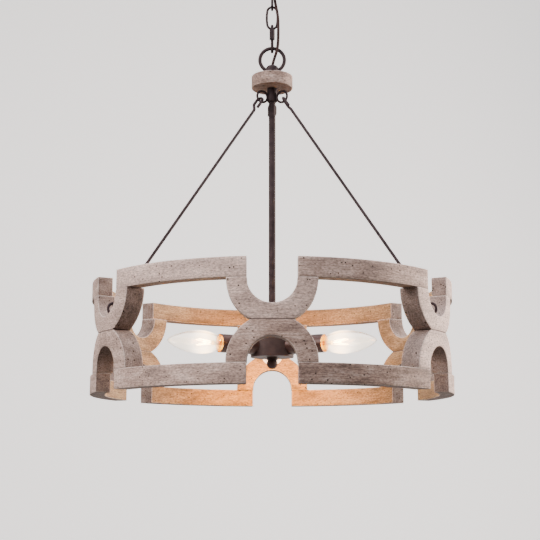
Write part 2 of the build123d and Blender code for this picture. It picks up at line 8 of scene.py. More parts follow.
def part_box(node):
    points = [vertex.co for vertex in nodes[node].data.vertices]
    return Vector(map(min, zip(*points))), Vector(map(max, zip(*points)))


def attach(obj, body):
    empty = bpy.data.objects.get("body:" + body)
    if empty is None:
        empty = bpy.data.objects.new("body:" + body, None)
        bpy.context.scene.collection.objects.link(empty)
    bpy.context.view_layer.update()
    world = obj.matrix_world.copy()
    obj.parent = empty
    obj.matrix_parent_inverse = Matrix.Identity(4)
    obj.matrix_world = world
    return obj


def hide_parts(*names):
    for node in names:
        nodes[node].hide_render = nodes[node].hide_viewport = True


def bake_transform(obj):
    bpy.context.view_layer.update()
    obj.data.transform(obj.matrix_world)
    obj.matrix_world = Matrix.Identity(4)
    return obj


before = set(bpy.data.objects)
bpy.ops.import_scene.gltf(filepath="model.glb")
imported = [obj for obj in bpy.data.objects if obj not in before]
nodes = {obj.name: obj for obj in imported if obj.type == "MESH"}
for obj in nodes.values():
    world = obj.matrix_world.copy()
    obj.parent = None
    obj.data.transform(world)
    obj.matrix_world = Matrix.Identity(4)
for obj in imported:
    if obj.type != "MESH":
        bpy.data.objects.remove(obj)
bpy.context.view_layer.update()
mm = 0.001


def linearColor(text):
    # an sRGB hex value to the linear numbers that the shader wants
    parts = [int(text[i:i + 2], 16) / 255 for i in (1, 3, 5)]
    return [c / 12.92 if c <= 0.04045 else ((c + 0.055) / 1.055) ** 2.4 for c in parts] + [1.0]


# The kinds of node that come most often, and how a mix node mixes colours
mathNode, vectorNode, rangeNode = "ShaderNodeMath", "ShaderNodeVectorMath", "ShaderNodeMapRange"
noiseNode, mixNode, attributeNode = "ShaderNodeTexNoise", "ShaderNodeMix", "ShaderNodeAttribute"
overMix = {"data_type": "RGBA"}
timesMix = {"data_type": "RGBA", "blend_type": "MULTIPLY"}


def addNode(tree, kind, inputs=(), **settings):
    # one node with its settings; an input is a socket to link or a value to set
    node = tree.nodes.new(kind)
    for name, value in settings.items():
        setattr(node, name, value)
    pairs = inputs.items() if isinstance(inputs, dict) else enumerate(inputs)
    for key, value in pairs:
        if isinstance(value, bpy.types.NodeSocket):
            tree.links.new(value, node.inputs[key])
        elif value is not None:
            node.inputs[key].default_value = value
    return node


def makeObject(name, vertices, faces, material=None, smooth=True):
    mesh = bpy.data.meshes.new(name)
    mesh.from_pydata([tuple(v) for v in vertices], [], faces)
    mesh.validate()
    if smooth:
        mesh.shade_smooth()
    piece = bpy.data.objects.new(name, mesh)
    bpy.context.scene.collection.objects.link(piece)
    if material:
        mesh.materials.append(material)
    return piece


def plainMesh(source):
    # the evaluated shape of a piece, as a mesh with no modifiers
    graph = bpy.context.evaluated_depsgraph_get()
    mesh = bpy.data.meshes.new_from_object(source.evaluated_get(graph))
    name = source.name
    bpy.data.objects.remove(source)
    piece = bpy.data.objects.new(name, mesh)
    mesh.name = name
    bpy.context.scene.collection.objects.link(piece)
    return piece


def paint(material, *names):
    for name in names:
        mesh = nodes[name].data
        mesh.materials.clear()
        mesh.materials.append(material)


# The camera stands 1.63 m from the drum's axis, below the drum, and looks up at it
view = {"distance": 1632.9 * mm, "height": -766.8 * mm, "pitch": 9.93, "lens": 77.04, "sensor": 36,
        "shift": -0.004, "reach": 50}


def addCamera():
    data = bpy.data.cameras.new("camera")
    data.lens = view["lens"]
    data.sensor_width = view["sensor"]
    data.sensor_fit = "HORIZONTAL"
    data.shift_x = view["shift"]
    data.clip_end = view["reach"]
    camera = bpy.data.objects.new("camera", data)
    camera.location = (0, -view["distance"], view["height"])
    camera.rotation_euler = (radians(90 + view["pitch"]), 0, 0)
    bpy.context.scene.collection.objects.link(camera)
    bpy.context.scene.camera = camera


# Soft boxes stand above the drum, so that what faces down stays dark. The small warm one stands for the
# bulbs' glow on the far boards.
studio = {
    "front left": {"place": (-2.6, -1.5, 0.5), "size": 1.7, "power": 114, "color": "#FFF6F1"},
    "front": {"place": (0.5, -2.9, 1.1), "size": 1.8, "power": 22, "color": "#FFF8F2"},
    "right": {"place": (2.6, 0.9, 0.1), "size": 1.2, "power": 250, "color": "#FFF0E4"},
    "overhead": {"place": (0.0, -0.4, 1.4), "size": 2.4, "power": 85, "color": "#FAFAFF"},
    "glow": {"place": (0.0, 0.105, -0.617), "size": 0.07, "power": 1.2, "color": "#FFAC44",
             "aim": (0, 1.0, -0.66)},
}
lampMiddle = (0, 0, -0.55)
sky = {"below": "#726D6B", "level": "#B4AFAB", "above": "#F4F3F4", "whitest": 0.8, "strength": 0.42}
backdrop = {"distance": 3.6, "width": 9.0, "height": 6.0, "color": "#EDEBEA", "glow": 1.15}
ground = {"level": -2.1, "size": 14.0, "color": "#B9B5B0"}


def addLights():
    for name, light in studio.items():
        data = bpy.data.lights.new(name, "AREA")
        data.shape = "SQUARE"
        data.size = light["size"]
        data.energy = light["power"]
        data.color = linearColor(light["color"])[:3]
        lamp = bpy.data.objects.new(name, data)
        lamp.location = light["place"]
        target = Vector(light.get("aim", lampMiddle))
        lamp.rotation_euler = (target - lamp.location).to_track_quat("-Z", "Y").to_euler()
        bpy.context.scene.collection.objects.link(lamp)


def addSky():
    # paler overhead than underfoot
    world = bpy.data.worlds.new("studio")
    world.use_nodes = True
    tree = world.node_tree
    direction = addNode(tree, "ShaderNodeTexCoord").outputs["Generated"]
    height = addNode(tree, "ShaderNodeSeparateXYZ", [direction]).outputs[2]
    height = addNode(tree, rangeNode, [height, -1.0, 1.0, 0.0, 1.0]).outputs[0]
    ramp = addNode(tree, "ShaderNodeValToRGB", [height])
    ramp.color_ramp.elements[0].color = linearColor(sky["below"])
    ramp.color_ramp.elements[1].color = linearColor(sky["above"])
    ramp.color_ramp.elements[1].position = sky["whitest"]
    ramp.color_ramp.elements.new(0.5).color = linearColor(sky["level"])
    background = tree.nodes["Background"]
    tree.links.new(ramp.outputs["Color"], background.inputs["Color"])
    background.inputs["Strength"].default_value = sky["strength"]
    bpy.context.scene.world = world


def makePaint(name, color, glow=0.0, roughness=0.7):
    material = bpy.data.materials.new(name)
    material.use_nodes = True
    shader = material.node_tree.nodes["Principled BSDF"]
    shader.inputs["Base Color"].default_value = linearColor(color)
    shader.inputs["Roughness"].default_value = roughness
    shader.inputs["Emission Color"].default_value = linearColor(color)
    shader.inputs["Emission Strength"].default_value = glow
    return material


def addFloorAndBackdrop():
    half, level = ground["size"] / 2, ground["level"]
    corners = [(-half, -half, level), (half, -half, level), (half, half, level), (-half, half, level)]
    painted = makePaint("pale painted floor", ground["color"])
    floor = makeObject("floor", corners, [(0, 1, 2, 3)], painted, smooth=False)
    floor.visible_diffuse = False   # it lies far below the lamp, and sends no light up to it
    side, top, back = backdrop["width"] / 2, backdrop["height"] / 2, backdrop["distance"]
    corners = [(-side, back, -top), (side, back, -top), (side, back, top), (-side, back, top)]
    paper = makePaint("pale paper backdrop", backdrop["color"], backdrop["glow"])
    makeObject("backdrop", corners, [(0, 1, 2, 3)], paper, smooth=False)


addCamera()
addLights()
addSky()
addFloorAndBackdrop()
print("camera, lights and floor")


# Limed and sanded fir, stained grey-brown: streaks along the grain, sandy specks, dark pin holes and pale
# rubbed edges, with painted shade on the saw cuts and along the seams between boards, and painted warm bulb
# light on the drum's inner faces. Sizes are in mm. Real streaks are finer than a pixel, so they are drawn
# about twice as broad. Each pattern has its length, width, detail and roughness.
woodLook = {
    "dark": "#675249", "middle": "#9D8276", "light": "#C4ABA0", "pale": "#CBB7B0", "worn": "#D3C2BA",
    # inside is painted light, the warm yellow of the bulbs' light on the drum's inner faces
    # the seam line colour is painted shade, the dark line in the joints between boards
    "inside": "#E8DCB2", "hole": "#33271F", "seamShadeColor": "#3E322C",
    "streaks": (22.0, 1.5, 4.0, 0.65), "mottle": (46.0, 15.0, 3.0, 0.55), "specks": (3.74, 1.7, 3.0, 0.7),
    "mottleShare": 0.55, "stainRange": (0.36, 0.64), "paleFrom": 0.4, "paleShare": 0.45,
    # cut is painted shade: how much darker the saw-cut faces are drawn
    "toneRange": (0.72, 1.18), "speckRange": (0.32, 0.68), "speckDepth": 0.52, "cut": 0.56, "cutBlur": 0.4,
    "holeCell": 4.6, "holeRadius": 1.05, "holeShare": 0.17, "wornWidth": 0.8, "wornShare": 0.6,
    "wornSpecks": (0.25, 0.75), "wornReach": (0.3, 1.7), "wornFade": (0.5, 1.2), "seamShadeCore": 0.3,
    "seamShadeWidth": 0.95, "seamShadeShare": 0.85, "roughness": 0.82, "bump": 0.4, "relief": 0.4, "speckRelief": 0.6,
}


def makeWood(name, look):
    material = bpy.data.materials.new(name)
    material.use_nodes = True
    tree = material.node_tree
    shader = tree.nodes["Principled BSDF"]
    grain, board, gap = [addNode(tree, attributeNode, attribute_name=label).outputs["Vector"]
                         for label in ("grain", "board", "edgeGap")]
    tone, glue = [addNode(tree, attributeNode, attribute_name=label).outputs["Fac"]
                  for label in ("tone", "seamGap")]
    patterns = []
    for length, width, detail, rough in (look["streaks"], look["mottle"], look["specks"]):
        scale = (1 / (length * mm), 1 / (width * mm), 1 / (width * mm))
        spot = addNode(tree, "ShaderNodeMapping", {"Vector": grain, "Scale": scale}).outputs[0]
        patterns.append(addNode(tree, noiseNode, {"Vector": spot, "Scale": 1.0, "Detail": detail,
                                                  "Roughness": rough}).outputs["Fac"])
    streaks, mottle, specks = patterns

    # paler or darker from board to board: partly each board's own stain, partly painted light set for each
    # board
    fine = addNode(tree, mathNode, [streaks, 1 - look["mottleShare"]], operation="MULTIPLY").outputs[0]
    stain = addNode(tree, mathNode, [mottle, look["mottleShare"], fine], operation="MULTIPLY_ADD").outputs[0]
    ramp = addNode(tree, "ShaderNodeValToRGB", [stain])
    ramp.color_ramp.elements[0].position, ramp.color_ramp.elements[1].position = look["stainRange"]
    ramp.color_ramp.elements[0].color = linearColor(look["dark"])
    ramp.color_ramp.elements[1].color = linearColor(look["light"])
    ramp.color_ramp.elements.new(0.5).color = linearColor(look["middle"])
    share = addNode(tree, rangeNode, [tone, look["paleFrom"], 1.0, 0.0, look["paleShare"]]).outputs[0]
    color = addNode(tree, mixNode, {"Factor": share, 6: ramp.outputs["Color"], 7: linearColor(look["pale"])},
                    **overMix).outputs[2]
    level = addNode(tree, rangeNode, [tone, 0.0, 1.0, *look["toneRange"]]).outputs[0]
    color = addNode(tree, mixNode, {"Factor": 1.0, 6: color, 7: level}, **timesMix).outputs[2]
    level = addNode(tree, rangeNode, [specks, *look["speckRange"], 1 - look["speckDepth"],
                                      1 + look["speckDepth"]]).outputs[0]
    color = addNode(tree, mixNode, {"Factor": 1.0, 6: color, 7: level}, **timesMix).outputs[2]

    # a saw cut is where the nearest face isn't the front or the back; painted shade: the cut faces are drawn
    # darker, for the shade that falls on them
    gaps = addNode(tree, "ShaderNodeSeparateXYZ", [gap]).outputs
    lower = addNode(tree, mathNode, [gaps[0], gaps[1]], operation="MINIMUM").outputs[0]
    sawn = addNode(tree, mathNode, [gaps[2], lower], operation="SUBTRACT").outputs[0]
    sawn = addNode(tree, rangeNode, [sawn, -look["cutBlur"], look["cutBlur"], 0.0, 1.0]).outputs[0]
    shadedCutColor = addNode(tree, mixNode, {"Factor": 1.0, 6: color, 7: [look["cut"]] * 3 + [1.0]},
                     **timesMix).outputs[2]
    color = addNode(tree, mixNode, {"Factor": sawn, 6: color, 7: shadedCutColor}, **overMix).outputs[2]

    # painted light: the drum's inner faces are tinted a warmer yellow, for the bulbs' warm light on them
    depth = addNode(tree, "ShaderNodeSeparateXYZ", [board]).outputs[2]
    behind = addNode(tree, mathNode, [depth, 0.0], operation="LESS_THAN").outputs[0]
    planed = addNode(tree, mathNode, [1.0, sawn], operation="SUBTRACT").outputs[0]
    inner = addNode(tree, mathNode, [behind, planed], operation="MULTIPLY").outputs[0]
    bulbWarmedColor = addNode(tree, mixNode, {"Factor": 1.0, 6: color, 7: linearColor(look["inside"])},
                       **timesMix).outputs[2]
    color = addNode(tree, mixNode, {"Factor": inner, 6: color, 7: bulbWarmedColor}, **overMix).outputs[2]

    # the distance to the nearest edge is the middle one of those to the three pairs of faces
    upper = addNode(tree, mathNode, [gaps[0], gaps[1]], operation="MAXIMUM").outputs[0]
    upper = addNode(tree, mathNode, [upper, gaps[2]], operation="MINIMUM").outputs[0]
    edge = addNode(tree, mathNode, [lower, upper], operation="MAXIMUM").outputs[0]
    reach = addNode(tree, rangeNode, [specks, *look["wornSpecks"], *look["wornReach"]]).outputs[0]
    reach = addNode(tree, mathNode, [reach, look["wornWidth"]], operation="MULTIPLY").outputs[0]
    edge = addNode(tree, mathNode, [edge, reach], operation="DIVIDE").outputs[0]
    worn = addNode(tree, rangeNode, [edge, *look["wornFade"], look["wornShare"], 0.0]).outputs[0]
    color = addNode(tree, mixNode, {"Factor": worn, 6: color, 7: linearColor(look["worn"])},
                    **overMix).outputs[2]
    # painted shade: near a seam between boards the colour turns dark, for the shade in the joint
    seamShaded = addNode(tree, rangeNode, [glue, look["seamShadeCore"] * look["seamShadeWidth"], look["seamShadeWidth"],
                                      look["seamShadeShare"], 0.0]).outputs[0]
    color = addNode(tree, mixNode, {"Factor": seamShaded, 6: color, 7: linearColor(look["seamShadeColor"])},
                    **overMix).outputs[2]

    # worm holes: small hollows through the board, a few of which come out at a face
    cells = addNode(tree, "ShaderNodeTexVoronoi", {"Vector": board, "Scale": 1 / (look["holeCell"] * mm)})
    chance = addNode(tree, "ShaderNodeSeparateColor", [cells.outputs["Color"]]).outputs[0]
    bored = addNode(tree, mathNode, [chance, look["holeShare"]], operation="LESS_THAN").outputs[0]
    size = look["holeRadius"] / look["holeCell"]
    size = addNode(tree, mathNode, [bored, size], operation="MULTIPLY").outputs[0]
    hole = addNode(tree, mathNode, [cells.outputs["Distance"], size], operation="LESS_THAN").outputs[0]
    color = addNode(tree, mixNode, {"Factor": hole, 6: color, 7: linearColor(look["hole"])},
                    **overMix).outputs[2]
    tree.links.new(color, shader.inputs["Base Color"])
    shader.inputs["Roughness"].default_value = look["roughness"]

    height = addNode(tree, mathNode, [hole, -1.0, streaks], operation="MULTIPLY_ADD").outputs[0]
    height = addNode(tree, mathNode, [specks, look["speckRelief"], height],
                     operation="MULTIPLY_ADD").outputs[0]
    bump = addNode(tree, "ShaderNodeBump", {"Strength": look["bump"], "Distance": look["relief"] * mm,
                                            "Height": height})
    tree.links.new(bump.outputs[0], shader.inputs["Normal"])
    return material


# Each finish: base and second colour, how they mottle (mm), metallic, roughness and its spread, bump and its
# grain (mm), and where it differs from a plain surface its specular level or its glow
finishes = {
    # steel, lacquered as oil-rubbed bronze: dark brown and almost matt, a little paler where it is rubbed
    "oil-rubbed bronze": {"base": "#30272A", "second": "#453A3C", "mottle": 9.0, "metallic": 0.0,
                          "roughness": 0.6, "spread": 0.16, "bump": 0.05, "grain": 1.2, "specular": 0.06},
    # steel, textured powder coat: the same brown with a fine orange peel
    "textured bronze powder coat": {"base": "#3F3130", "second": "#503F3C", "mottle": 14.0, "metallic": 0.25,
                                    "roughness": 0.55, "spread": 0.1, "bump": 0.3, "grain": 1.1,
                                    "specular": 0.3},
    # steel, baked enamel: dark reddish brown and smooth
    "brown baked enamel": {"base": "#3C2420", "second": "#4B2F28", "mottle": 16.0, "metallic": 0.3,
                           "roughness": 0.38, "spread": 0.08, "bump": 0.04, "grain": 1.5},
    # steel, zinc plated and passivated: bright grey with soft clouds
    "zinc plated steel": {"base": "#A9ABA8", "second": "#C3C2B8", "mottle": 6.0, "metallic": 1.0,
                          "roughness": 0.34, "spread": 0.12, "bump": 0.03, "grain": 0.8},
    # steel, dyed green
    "green dyed screw": {"base": "#1E6B35", "second": "#2C8246", "mottle": 2.0, "metallic": 0.7,
                         "roughness": 0.4, "spread": 0.1, "bump": 0.03, "grain": 0.8},
    # brass, rolled shell: warm yellow, slightly dulled
    "rolled brass": {"base": "#B8924A", "second": "#CFAE68", "mottle": 3.0, "metallic": 1.0,
                     "roughness": 0.28, "spread": 0.12, "bump": 0.03, "grain": 0.8},
    # urea, moulded: the cream insulator; painted light: it is coloured amber and given a glow, for the lit
    # bulb's light on it
    "moulded cream urea": {"base": "#E6B44C", "second": "#C48C30", "mottle": 4.0, "metallic": 0.0,
                           "roughness": 0.5, "spread": 0.08, "bump": 0.06, "grain": 1.0, "glow": 0.3},
    # steel, bare inside the cup: golden in the bulb's light
    "bare steel, golden in the bulb's light": {"base": "#E0A22A", "second": "#BA7C1E", "mottle": 4.0,
                                               "metallic": 0.3, "roughness": 0.4, "spread": 0.1,
                                               "bump": 0.03, "grain": 1.0, "glow": 0.5},
    # beech dowel, plain
    "turned beech": {"base": "#C6A374", "second": "#AE8A5C", "mottle": 3.0, "metallic": 0.0,
                     "roughness": 0.7, "spread": 0.08, "bump": 0.1, "grain": 0.8},
    # vinyl over copper, limp flat cord: matt dark brown
    "brown vinyl cord": {"base": "#3A2B2B", "second": "#4A3836", "mottle": 5.0, "metallic": 0.0,
                         "roughness": 0.6, "spread": 0.1, "bump": 0.08, "grain": 0.9, "specular": 0.06},
}
# The same for every finish: detail and roughness of its two patterns, the part of the mottle that its colour
# and its roughness run over, and the height of its grain (mm)
finishPattern = {"mottle": (4.0, 0.6), "grain": (2.0, 0.5), "colorRange": (0.35, 0.7),
                 "roughRange": (0.3, 0.7), "relief": 0.3}


def makeFinish(name, look):
    material = bpy.data.materials.new(name)
    material.use_nodes = True
    tree = material.node_tree
    shader = tree.nodes["Principled BSDF"]
    place = addNode(tree, "ShaderNodeTexCoord").outputs["Object"]
    patterns = []
    for label in ("mottle", "grain"):
        detail, rough = finishPattern[label]
        patterns.append(addNode(tree, noiseNode, {"Vector": place, "Scale": 1 / (look[label] * mm),
                                                  "Detail": detail, "Roughness": rough}).outputs["Fac"])
    clouds, grains = patterns
    share = addNode(tree, rangeNode, [clouds, *finishPattern["colorRange"], 0.0, 1.0]).outputs[0]
    color = addNode(tree, mixNode, {"Factor": share, 6: linearColor(look["base"]),
                                    7: linearColor(look["second"])}, **overMix).outputs[2]
    tree.links.new(color, shader.inputs["Base Color"])
    low, high = look["roughness"] - look["spread"] / 2, look["roughness"] + look["spread"] / 2
    rough = addNode(tree, rangeNode, [clouds, *finishPattern["roughRange"], low, high]).outputs[0]
    tree.links.new(rough, shader.inputs["Roughness"])
    shader.inputs["Metallic"].default_value = look["metallic"]
    shader.inputs["Specular IOR Level"].default_value = look.get("specular", 0.5)
    if "glow" in look:
        tree.links.new(color, shader.inputs["Emission Color"])
        shader.inputs["Emission Strength"].default_value = look["glow"]
    bump = addNode(tree, "ShaderNodeBump", {"Strength": look["bump"], "Height": grains,
                                            "Distance": finishPattern["relief"] * mm})
    tree.links.new(bump.outputs[0], shader.inputs["Normal"])
    return material


# The glass is clear, but full of light: warm and bright round the filament, milky towards the tip. In the cup
# it carries a painted reflection of the gilded shell, a golden glow. Heights in mm above the glass's foot.
glassLook = {
    "tint": "#FFFCF6", "roughness": 0.03, "index": 1.45,
    "milk": "#FFF3EC", "milkGlow": 0.14, "milkStart": 13.0, "milkRise": 10.0,
    "warm": "#FFD29A", "warmGlow": 2.0, "warmHeight": 31.0, "warmReach": 13.0,
    "giltReflection": "#FFC81E", "giltGlow": 0.55, "giltTop": 9.0, "giltFade": 1.2,
}


def makeGlass(name, look):
    material = bpy.data.materials.new(name)
    material.use_nodes = True
    tree = material.node_tree
    shader = tree.nodes["Principled BSDF"]
    shader.inputs["Base Color"].default_value = linearColor(look["tint"])
    shader.inputs["Roughness"].default_value = look["roughness"]
    shader.inputs["IOR"].default_value = look["index"]
    shader.inputs["Transmission Weight"].default_value = 1.0
    warmth, milky, giltReflection = [addNode(tree, attributeNode, attribute_name=label).outputs["Fac"]
                           for label in ("warmth", "milky", "giltReflection")]
    color = linearColor(look["milk"])
    for share, other in ((warmth, look["warm"]), (giltReflection, look["giltReflection"])):
        color = addNode(tree, mixNode, {"Factor": share, 6: color, 7: linearColor(other)},
                        **overMix).outputs[2]
    tree.links.new(color, shader.inputs["Emission Color"])
    strength = addNode(tree, rangeNode, [warmth, 0.0, 1.0, look["milkGlow"], look["warmGlow"]]).outputs[0]
    strength = addNode(tree, mathNode, [strength, milky], operation="MULTIPLY").outputs[0]
    # painted reflection: a golden glow near the glass's foot, for the gilded shell seen in it
    strength = addNode(tree, mathNode, [giltReflection, look["giltGlow"], strength],
                       operation="MULTIPLY_ADD").outputs[0]
    tree.links.new(strength, shader.inputs["Emission Strength"])
    return material


# Tungsten wire, drawn and coiled: at full heat it only shines, straw yellow and too bright to show a surface
coilLook = {"color": "#FFD9A0", "strength": 120.0}


def makeGlow(name, look):
    material = bpy.data.materials.new(name)
    material.use_nodes = True
    shader = material.node_tree.nodes["Principled BSDF"]
    shader.inputs["Base Color"].default_value = linearColor(look["color"])
    shader.inputs["Emission Color"].default_value = linearColor(look["color"])
    shader.inputs["Emission Strength"].default_value = look["strength"]
    return material


materials = {name: makeFinish(name, look) for name, look in finishes.items()}
wood = makeWood("limed and sanded fir", woodLook)
glass = makeGlass("clear blown glass", glassLook)
glow = makeGlow("hot tungsten", coilLook)
print("materials", len(bpy.data.materials))


# The drum's boards. Sizes in mm, as in the CAD, and angles in degrees. A tone of 0 is a dark board and 1 a
# pale one. The tones are partly each board's own stain and partly painted light: boards facing the lights are
# set paler, and the front lower band, which is in shade, darker. A board's seed times the grain's shift, in
# metres, gives it a stretch of grain of its own.
drum = {
    "radius": 254.0, "bandThickness": 21.0, "ringThickness": 24.5, "ringInner": 30.7, "ringOuter": 56.3,
    "armStraight": 1.5, "webDrop": 50.4, "bandHeight": 25.5, "setback": 31.3, "rounding": 0.7,
    "unevenness": 0.35, "wavesPerMetre": 70.0, "armLineFade": 0.85, "bay": 60,
    "seed": 7, "seedMost": 9, "grainShift": (0.71, 0.13),
    "azimuths": (-120, -60, 0, 60, 120, 180), "ringSteps": 48, "bandSteps": 60, "crossSteps": 6,
    # painted light in part: these tones follow how the light falls on each board as well as its stain
    "stainAndLightTones": {"upper_band": (0.6, 0.95, 0.62, 0.8, 0.5, 0.5),
              "upper_half_ring": (0.5, 0.75, 0.8, 0.95, 0.5, 0.6),
              "lower_half_ring": (0.6, 0.65, 0.5, 0.95, 0.55, 0.6),
              "lower_band": (0.6, 0.62, 0.0, 0.7, 0.6, 0.6)},
}


def startTree(name, inputs):
    # an empty tree with a number input for each name, and one for the material
    tree = bpy.data.node_groups.new(name, "GeometryNodeTree")
    tree.is_modifier = True
    for label in inputs:
        tree.interface.new_socket(name=label, in_out="INPUT", socket_type="NodeSocketFloat")
    tree.interface.new_socket(name="Material", in_out="INPUT", socket_type="NodeSocketMaterial")
    tree.interface.new_socket(name="Geometry", in_out="OUTPUT", socket_type="NodeSocketGeometry")
    return tree, addNode(tree, "NodeGroupInput").outputs


def makeBoardTree(name, ring):
    inputs = ["Half Length", "Half Height", "Half Depth", "Rounding", "Unevenness", "Middle Radius",
              "Azimuth", "Level", "Tone", "Seed"]
    if ring:
        inputs += ["Inner Radius", "Outer Radius", "Web Drop", "Direction", "Arm Straight"]
    else:
        inputs += ["Setback", "Half Bay"]
    tree, given = startTree(name, inputs)
    along, cross = drum["ringSteps" if ring else "bandSteps"], drum["crossSteps"]
    block = addNode(tree, "GeometryNodeMeshCube", {
        "Size": (2, 2, 2), "Vertices X": along + 3, "Vertices Y": cross + 3,
        "Vertices Z": cross + 3}).outputs["Mesh"]
    # the outermost rows of points become the rounding, and the rest spread over the flat of each face
    place = addNode(tree, "GeometryNodeInputPosition").outputs[0]
    spread = ((along + 2) / along, (cross + 2) / cross, (cross + 2) / cross)
    wide = addNode(tree, vectorNode, [place, spread], operation="MULTIPLY").outputs[0]
    capped = addNode(tree, vectorNode, [wide, (1, 1, 1)], operation="MINIMUM").outputs[0]
    capped = addNode(tree, vectorNode, [capped, (-1, -1, -1)], operation="MAXIMUM").outputs[0]
    over = addNode(tree, vectorNode, [wide, capped], operation="SUBTRACT").outputs[0]
    over = addNode(tree, vectorNode, [over], operation="SIGN").outputs[0]
    over = addNode(tree, vectorNode, [over], operation="NORMALIZE").outputs[0]
    halves = [given[label] for label in ("Half Length", "Half Height", "Half Depth")]
    half = addNode(tree, "ShaderNodeCombineXYZ", halves).outputs[0]
    edge = addNode(tree, "ShaderNodeCombineXYZ", [given["Rounding"]] * 3).outputs[0]
    core = addNode(tree, vectorNode, [half, edge], operation="SUBTRACT").outputs[0]
    inner = addNode(tree, vectorNode, [capped, core], operation="MULTIPLY").outputs[0]
    board = addNode(tree, vectorNode, [over, edge, inner], operation="MULTIPLY_ADD").outputs[0]
    size = addNode(tree, vectorNode, [board], operation="ABSOLUTE").outputs[0]
    edgeGap = addNode(tree, vectorNode, [half, size], operation="SUBTRACT").outputs[0]
    edgeGap = addNode(tree, vectorNode, {0: edgeGap, "Scale": 1 / mm}, operation="SCALE").outputs[0]
    axes = addNode(tree, "ShaderNodeSeparateXYZ", [board]).outputs
    radius = addNode(tree, mathNode, [given["Middle Radius"], axes[2]], operation="ADD").outputs[0]
    if ring:
        # round the channel, cut off flat where the outer arc would pass the drum's middle, and straight near
        # the ends
        arc = addNode(tree, mathNode, [given["Half Length"], given["Arm Straight"]],
                      operation="SUBTRACT").outputs[0]
        share = addNode(tree, mathNode, [axes[0], arc], operation="DIVIDE").outputs[0]
        share = addNode(tree, "ShaderNodeClamp", [share, -1.0, 1.0]).outputs[0]
        beyond = addNode(tree, mathNode, [axes[0]], operation="ABSOLUTE").outputs[0]
        beyond = addNode(tree, mathNode, [beyond, arc], operation="SUBTRACT").outputs[0]
        beyond = addNode(tree, mathNode, [beyond, 0.0], operation="MAXIMUM").outputs[0]
        angle = addNode(tree, mathNode, [share, pi / 2], operation="MULTIPLY").outputs[0]
        cosine = addNode(tree, mathNode, [angle], operation="COSINE").outputs[0]
        sine = addNode(tree, mathNode, [angle], operation="SINE").outputs[0]
        slope = addNode(tree, mathNode, [cosine, 0.001], operation="MAXIMUM").outputs[0]
        limit = addNode(tree, mathNode, [given["Web Drop"], slope], operation="DIVIDE").outputs[0]
        limit = addNode(tree, mathNode, [limit, given["Outer Radius"]], operation="MINIMUM").outputs[0]
        rise = addNode(tree, mathNode, [axes[1], given["Half Height"]], operation="DIVIDE").outputs[0]
        rise = addNode(tree, mathNode, [rise, 0.5, 0.5], operation="MULTIPLY_ADD").outputs[0]
        band = addNode(tree, mathNode, [limit, given["Inner Radius"]], operation="SUBTRACT").outputs[0]
        reach = addNode(tree, mathNode, [band, rise, given["Inner Radius"]],
                        operation="MULTIPLY_ADD").outputs[0]
        reach = addNode(tree, mathNode, [reach, given["Direction"]], operation="MULTIPLY").outputs[0]
        aside = addNode(tree, mathNode, [reach, sine], operation="MULTIPLY").outputs[0]
        centre = addNode(tree, mathNode, [given["Direction"], given["Arm Straight"], given["Level"]],
                         operation="MULTIPLY_ADD").outputs[0]
        level = addNode(tree, mathNode, [reach, cosine, centre], operation="MULTIPLY_ADD").outputs[0]
        drop = addNode(tree, mathNode, [beyond, given["Direction"]], operation="MULTIPLY").outputs[0]
        level = addNode(tree, mathNode, [level, drop], operation="SUBTRACT").outputs[0]
        flat = addNode(tree, mathNode, [given["Direction"], given["Web Drop"], centre],
                       operation="MULTIPLY_ADD").outputs[0]
        joints = [addNode(tree, mathNode, [level, height], operation="SUBTRACT").outputs[0]
                  for height in (flat, given["Level"])]
        joints = [addNode(tree, mathNode, [value], operation="ABSOLUTE").outputs[0] for value in joints]
        # painted shade: the dark line where the arms' ends meet the bands is drawn fainter
        joints[1] = addNode(tree, mathNode, [joints[1], drum["armLineFade"] * mm], operation="ADD").outputs[0]
        seamGap = addNode(tree, mathNode, joints, operation="MINIMUM").outputs[0]
        squares = [addNode(tree, mathNode, [value, 2.0], operation="POWER").outputs[0]
                   for value in (radius, aside)]
        outward = addNode(tree, mathNode, squares, operation="SUBTRACT").outputs[0]
        outward = addNode(tree, mathNode, [outward], operation="SQRT").outputs[0]
        grainX = aside
    else:
        # along the drum, from one channel's wall to the next
        ratio = addNode(tree, mathNode, [given["Setback"], radius], operation="DIVIDE").outputs[0]
        corner = addNode(tree, mathNode, [ratio], operation="ARCSINE").outputs[0]
        corner = addNode(tree, mathNode, [given["Half Bay"], corner], operation="SUBTRACT").outputs[0]
        share = addNode(tree, mathNode, [axes[0], given["Half Length"]], operation="DIVIDE").outputs[0]
        angle = addNode(tree, mathNode, [share, corner], operation="MULTIPLY").outputs[0]
        cosine = addNode(tree, mathNode, [angle], operation="COSINE").outputs[0]
        sine = addNode(tree, mathNode, [angle], operation="SINE").outputs[0]
        aside = addNode(tree, mathNode, [radius, sine], operation="MULTIPLY").outputs[0]
        outward = addNode(tree, mathNode, [radius, cosine], operation="MULTIPLY").outputs[0]
        level = addNode(tree, mathNode, [given["Level"], axes[1]], operation="ADD").outputs[0]
        grainX = addNode(tree, mathNode, [angle, radius], operation="MULTIPLY").outputs[0]
        seamGap = 1.0
    front = addNode(tree, mathNode, [outward, -1.0], operation="MULTIPLY").outputs[0]
    spot = addNode(tree, "ShaderNodeCombineXYZ", [aside, front, level]).outputs[0]
    spot = addNode(tree, "ShaderNodeVectorRotate", {"Vector": spot, "Angle": given["Azimuth"]},
                   rotation_type="Z_AXIS").outputs[0]
